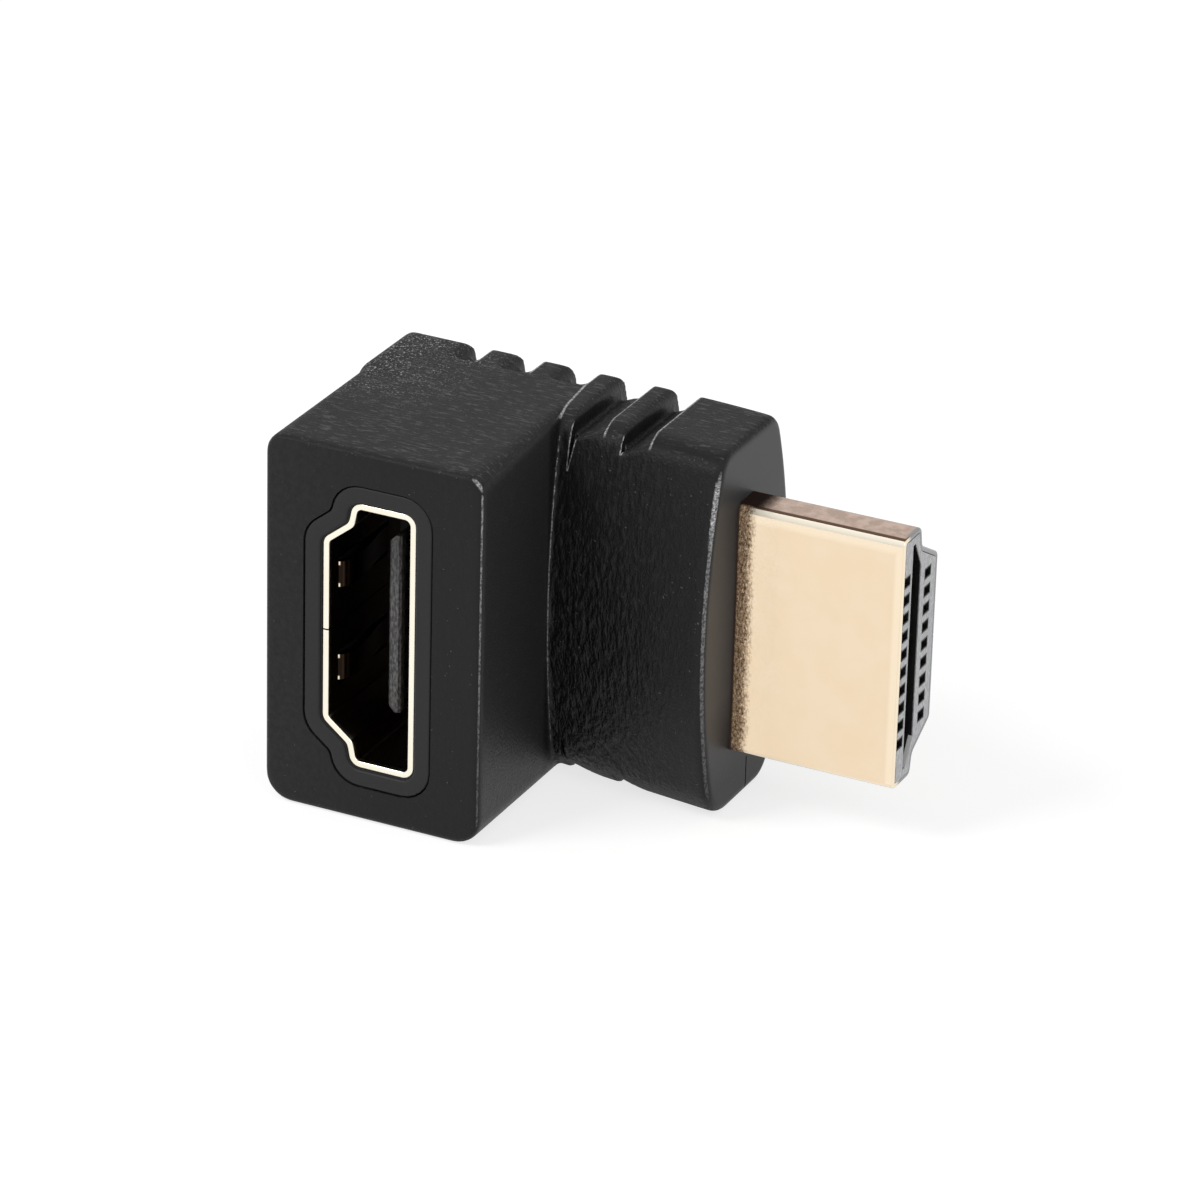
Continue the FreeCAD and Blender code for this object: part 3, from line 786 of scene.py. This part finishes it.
# Soil and a painted reflection brown the narrow face, grit gathers where the shell meets the grip, and the
# bent edges carry painted highlights and painted shade.
plug_gold, shader = gold_plate("plug_gold", plug_pale, plug_deep)
where = in_mm(shader)
out, across, up = parts_of(in_mm(shader, end_face))
behind_rim = minus(out, plug_reach)
normal = normal_of(shader)
broad = size_of(parts_of(normal)["Y"])
narrow = size_of(parts_of(normal)["Z"])
ragged = noise(where, ragged_grain, 4.0, 0.8)
slow = noise(where, slow_grain, 2.0)
# The narrow face is browned, partly soil and partly a painted reflection.
soil_and_reflection = over(soil_reflection_dark, ramp(noise(where, soil_reflection_grain, 4.0), 0.4, 0.6), soil_reflection_light)
# Painted highlight: a paler band on the broad face near the front rim and along its top.
border_highlight = greatest(ramp(behind_rim, -0.55, -0.35), ramp(up, border_top, border_top + 0.25))
lit_edge = facing(normal, lit_bend, 0.9, 0.95)
# Painted shade: the front rim is painted grey away from the wide face.
far_rim_shade = times(ramp(across, -1.8, -1.4), ramp(behind_rim, -0.25, -0.15))
from_grip = plus(plus(out, times(ragged, 0.8)), times(slow, 0.4))
stain = ramp(from_grip, *stain_length, stain_share, 0.0)
grit = over(grit_dark, ramp(ragged, 0.42, 0.54), grit_brown)
grit = over(grit, ramp(ragged, 0.58, 0.64), grit_gold)
shade = times(ramp(narrow, 0.75, 0.95), ramp(from_grip, 1.6, 2.4, 1.0, 0.0))
# Painted highlight: the shell is paler gold off its broad faces, which shows on the rounded edges.
# Painted shade: a dark brown line where the rounded edges turn onto the narrow face.
for share, colour in ((ramp(broad, 0.8, 0.97, 1.0, 0.0), edge_highlight_gold), (ramp(narrow, 0.70, 0.80), bend_shade_brown),
                      (ramp(narrow, 0.97, 0.995), soil_and_reflection),
                      (times(border_highlight, ramp(broad, 0.97, 0.99), 0.8), border_highlight_gold), (lit_edge, lit_gold),
                      # Painted shadow: a dark line along the foot of the shell where it enters the grip.
                      (far_rim_shade, far_shade_grey), (stain, grit), (ramp(out, *root_shadow_band, 1.0, 0.0), root_shadow_brown),
                      (shade, shade_brown)):
    tint(shader, share, colour)
near_grip = ramp(out, 0.0, dip_length, 1.0, 0.0)
relief(shader, times(near_grip, near_grip), dip_depth, 1.0)
dull = greatest(ramp(from_grip, 1.0, 1.5, 0.8, 0.0), shade, lit_edge)
join(ramp(dull, 0.0, 1.0, 1.0, 0.0), shader.inputs["Metallic"])
plain_shine = shader.inputs["Roughness"].links[0].from_socket
join(blend(dull, plain_shine, dull_matt), shader.inputs["Roughness"])
shader.inputs["Specular IOR Level"].default_value = dull_gloss
finish_piece(plug_shell, "plug_shell_skin", plug_gold, "gold_plate", "plug_shell")

# The socket's shell: a deeper D of the same plated sheet, open to the mouth. Two sprung fingers are cut
# and bent inwards on each broad wall, its edges meet in a seam on the narrow wall, and four legs hold it
# to the board.
finger_width = 1.4
finger_slot = 0.25
finger_spacing = 5.2
finger_setback = 1.2
finger_length = 5.2
finger_bulge = 0.42
finger_lead = 0.08
finger_bend = 0.22              # share of the finger's length between its tip and its bend
finger_steps = 16
leg_width = 1.2
leg_spacing = 6.8
leg_end = 0.475
rim_lip = 0.1
narrow_wall = socket_plane - socket_size[0] / 2

rim_pale = (0.96, 0.91, 0.78, 1)
rim_deep = (0.94, 0.88, 0.73, 1)
inside_shade_brown = (0.22, 0.155, 0.11, 1)
seam_glint_gold = (0.5, 0.36, 0.24, 1)
finger_pale = (0.93, 0.8, 0.6, 1)
finger_deep = (0.9, 0.72, 0.5, 1)
finger_shade_black = (0.015, 0.01, 0.007, 1)
finger_shade = (0.07, 0.045, 0.03, 1)


def finger(inside_wall, inwards, middle):
    """One sprung finger: it leaves the wall at its root, bows into the opening and turns out at its tip."""
    tip = rim + finger_setback
    inner = [(inside_wall - inwards * finger_lead, tip)]
    for i in range(finger_steps + 1):
        t = i / finger_steps
        if t < finger_bend:
            reach = finger_lead + (finger_bulge - finger_lead) * math.sin(math.pi / 2 * t / finger_bend)
        else:
            reach = finger_bulge * (1 + math.cos(math.pi * (t - finger_bend) / (1 - finger_bend))) / 2
        inner.append((inside_wall + inwards * reach, tip + max(t * finger_length, finger_lead)))
    outer = [(x - inwards * socket_wall, y) for x, y in inner[1:]][::-1]
    return prism("finger", inner + outer, in_xy, middle - finger_width / 2, middle + finger_width / 2)


lip = rounding(rim_lip, lip_steps)
profile = [(socket_back, socket_wall)]
profile += [(rim + back, socket_wall - cut) for back, cut in lip]
profile += [(rim + back, cut) for back, cut in lip[::-1]]
profile += [(socket_back, 0.0)]
socket_shell = through_rings("socket", [socket_ring(y, grow) for y, grow in profile], ring_shaped=True)
cuts = [block("seam", (narrow_wall - spare, narrow_wall + socket_wall), (rim - spare, socket_back + spare),
              (-seam_gap / 2, seam_gap / 2))]
legs = []
fingers = []
for inside_wall, inwards in ((wide_wall, -1), (narrow_wall, 1)):
    through = sorted((inside_wall - inwards * 2 * socket_wall, inside_wall + inwards * socket_wall))
    wall = sorted((inside_wall, inside_wall - inwards * socket_wall))
    for end in (-1, 1):
        middle = end * finger_spacing / 2
        half = finger_width / 2 + finger_slot
        window = (rim + finger_setback - finger_slot, rim + finger_setback + finger_length)
        cuts.append(block("window", through, window, (middle - half, middle + half)))
        fingers.append(finger(inside_wall, inwards, middle))
        middle = end * leg_spacing / 2
        legs.append(block("leg", wall, (socket_back - socket_wall, leg_end),
                            (middle - leg_width / 2, middle + leg_width / 2)))
combine(socket_shell, cuts, "DIFFERENCE")
combine(socket_shell, legs, "UNION")
combine(fingers[0], fingers[1:], "UNION")

socket_gold, shader = gold_plate("socket_gold", rim_pale, rim_deep)
_, y, z = parts_of(in_mm(shader, end_face))
depth_in = minus(y, rim)
# Painted shade: the shell darkens to brown inwards from just behind the rim.
tint(shader, ramp(depth_in, 0.05, 0.4), inside_shade_brown)
# Painted highlight: a thin pale line at mid-height of the walls, along the seam, fading back from the rim.
seam_glint = times(ramp(size_of(z), 0.06, 0.09, 1.0, 0.0), ramp(depth_in, 0.4, 3.0, 1.0, 0.0),
                   ramp(depth_in, 0.1, 0.2))
tint(shader, seam_glint, seam_glint_gold)
finish_piece(socket_shell, "socket_shell_skin", socket_gold, "gold_plate", "socket_shell")

finger_gold, shader = gold_plate("finger_gold", finger_pale, finger_deep)
x, y, z = parts_of(in_mm(shader, end_face))
# Painted shade: the fingers are painted dark except at the corners of their tips next to the narrow wall,
# left pale as small glints.
from_middle = size_of(minus(size_of(z), finger_spacing / 2))
tint(shader, ramp(from_middle, 0.48, 0.54, 1.0, 0.0), finger_shade_black)
tint(shader, ramp(x, narrow_wall - 0.03, narrow_wall + 0.01), finger_shade_black)
behind_tip = minus(y, rim + finger_setback)
tint(shader, ramp(behind_tip, 0.1, 0.3), finger_shade)
finish_piece(fingers[0], "socket_fingers", finger_gold, "gold_plate", "socket_shell")

# The two inserts: glass-filled plastic, dark in the socket, where the tongue stands in the middle of the
# opening, and light grey in the plug, where a slot and two rows of windows let the contacts meet.
fibre_grain = (11.0, 11.0, 4.0)
fibre_relief = 0.015
fibre_strength = 0.35
rough_spread = 0.06
tongue_rough = 0.5
insert_rough = 0.45
tongue_dark = (0.04, 0.04, 0.041, 1)
tongue_light = (0.19, 0.19, 0.19, 1)
tongue_shade = (0.008, 0.008, 0.008, 1)
insert_dark = (0.55, 0.555, 0.57, 1)
insert_light = (0.85, 0.855, 0.87, 1)
window_shade_black = (0.004, 0.004, 0.004, 1)
window_half = 0.40
# Each row of windows: its place, its end, and where in a pitch of 1 mm a window fades in and is full.
window_rows = ((-1.68, 5.0, 0.34, 0.30), (0.95, 4.5, 0.16, 0.20))
end_slope = (0, -0.87, 0.5)
lit_white = (0.9, 0.9, 0.9, 1)


def filled_plastic(name, dark, light, rough):
    """Moulded plastic whose glass fibres show as a fine speckle."""
    material, shader = new_material(name)
    fibres = noise(in_mm(shader), fibre_grain, 3.0)
    join(over(dark, ramp(fibres, 0.4, 0.65), light), shader.inputs["Base Color"])
    join(ramp(fibres, 0.3, 0.7, rough - rough_spread, rough + rough_spread), shader.inputs["Roughness"])
    relief(shader, fibres, fibre_relief, fibre_strength)
    return material, shader


def dress(node, material):
    """Give a CAD node its finish."""
    mesh = nodes[node].data
    mesh.materials.clear()
    mesh.materials.append(material)


tongue_plastic, shader = filled_plastic("tongue_plastic", tongue_dark, tongue_light, tongue_rough)
tongue_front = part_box("socket_insert")[0].y / mm
behind_front = minus(parts_of(in_mm(shader))["Y"], tongue_front)
tint(shader, ramp(behind_front, 0.1, 0.6), tongue_shade)
dress("socket_insert", tongue_plastic)

plug_plastic, shader = filled_plastic("plug_plastic", insert_dark, insert_light, insert_rough)
out, side, up = parts_of(in_mm(shader, end_face))
behind_rim = minus(out, plug_reach)
height = size_of(up)
in_pitch = size_of(minus(calculate("FRACT", height), 0.5))
# Painted shade: the windows are painted black.
for middle, last, least, full in window_rows:
    in_row = ramp(size_of(minus(side, middle)), window_half + 0.04, window_half)
    windows = times(in_row, ramp(height, last, last - 0.05), ramp(in_pitch, least, full))
    tint(shader, windows, window_shade_black)
# Painted shade: all the plastic more than a little behind the rim is painted black.
tint(shader, ramp(behind_rim, -0.08, -0.02, 1.0, 0.0), window_shade_black)
lit_end = times(facing(normal_of(shader), end_slope, 0.95, 0.99), ramp(behind_rim, -0.26, -0.22))
tint(shader, lit_end, lit_white)
dress("plug_insert", plug_plastic)

# The contacts: strips of copper alloy, stamped, bent and gold plated, nineteen at each end. They are
# pressed into the channels of the inserts; those on the tongue get a darker gold, a painted shade.
contact_pale = (0.85, 0.66, 0.32, 1)
contact_deep = (0.8, 0.6, 0.28, 1)
contact_count = 19
shaded_contact_pale = (0.10, 0.07, 0.035, 1)
shaded_contact_deep = (0.08, 0.05, 0.025, 1)
contact_gold = gold_plate("contact_gold", contact_pale, contact_deep)[0]
shaded_contact_gold = gold_plate("shaded_contact_gold", shaded_contact_pale, shaded_contact_deep)[0]
for number in range(1, contact_count + 1):
    dress("plug_contact_%02d" % number, contact_gold)
    dress("socket_contact_%02d" % number, shaded_contact_gold)

# Inside the grip, out of sight: the first shot of plain black plastic that locks the two connectors
# together, and the small circuit board that joins their tails, glass-fibre laminate under green solder mask.
core_rough = 0.55
mask_rough = 0.3
core_dark = (0.012, 0.012, 0.012, 1)
core_light = (0.02, 0.02, 0.02, 1)
mask_dark = (0.02, 0.13, 0.05, 1)
mask_light = (0.03, 0.17, 0.07, 1)
dress("inner_mould", filled_plastic("core_plastic", core_dark, core_light, core_rough)[0])
dress("circuit_board", filled_plastic("board_mask", mask_dark, mask_light, mask_rough)[0])

# The stage: a white floor that keeps a soft shadow, a pale room that is white where it is seen directly,
# and two large soft lamps. Its sizes are metres, as the frame's are, apart from the lamps' target.
floor_half = 1.5
floor_drop = 0.02 * mm
floor_glow = 0.74
floor_paint = 0.36
room_level = 0.54
white = (1, 1, 1, 1)
lamp_target = (-6.0, -3.0, 0.0)
lamps = (("key", (-0.35, -0.42, 0.6), 0.3, 0.45),       # name, place from the target, size and level
         ("fill", (0.5, -0.3, 0.35), 0.35, 0.12))


def seen_directly(tree):
    """1 for rays from the camera, a reflection or glass, and 0 for the rest."""
    rays = add_node(tree, "LightPath").outputs
    return greatest(rays["Is Camera Ray"], rays["Is Glossy Ray"], rays["Is Transmission Ray"])


corners = [(a * floor_half, b * floor_half, -floor_drop) for a, b in ((-1, -1), (1, -1), (1, 1), (-1, 1))]
floor = new_piece("floor", corners, [(0, 1, 2, 3)])
floor_white, shader = new_material("floor_white")
shader.inputs["Base Color"].default_value = (floor_paint, floor_paint, floor_paint, 1)
shader.inputs["Roughness"].default_value = 1.0
shader.inputs["Specular IOR Level"].default_value = 0.0
shader.inputs["Emission Color"].default_value = white
join(times(seen_directly(shader.id_data), floor_glow), shader.inputs["Emission Strength"])
floor.data.materials.append(floor_white)

world = bpy.data.worlds.new("room")
world.use_nodes = True
background = world.node_tree.nodes["Background"]
background.inputs["Color"].default_value = white
join(ramp(seen_directly(world.node_tree), 0.0, 1.0, room_level, 1.0), background.inputs["Strength"])
bpy.context.scene.world = world

for name, place, size, level in lamps:
    lamp = bpy.data.lights.new(name, "AREA")
    lamp.size = size
    lamp.energy = level * (math.pi * Vector(place).length) ** 2
    holder = bpy.data.objects.new(name, lamp)
    holder.location = to_frame @ Vector(lamp_target) + Vector(place)
    holder.rotation_euler = (-Vector(place)).to_track_quat("-Z", "Y").to_euler()
    bpy.context.scene.collection.objects.link(holder)

# The camera stands a little right of the socket's mouth and looks down on the grip, as in the photograph.
# Its place, turn and lens were fitted to the sizes of the two connectors as they appear there.
camera_place = (116.24, -261.47, 135.03)
camera_turn = (64.803, -1.390, 26.186)      # degrees
camera_lens = 186.2
camera_sensor = 36.0
camera_shift = 0.001

camera = bpy.data.objects.new("camera", bpy.data.cameras.new("camera"))
camera.data.sensor_width = camera_sensor
camera.data.lens = camera_lens
camera.data.shift_x = camera_shift
camera.location = to_frame @ Vector(camera_place)
camera.rotation_euler = [math.radians(a) for a in camera_turn]
bpy.context.scene.collection.objects.link(camera)
bpy.context.scene.camera = camera
bpy.context.scene.view_settings.view_transform = "Standard"
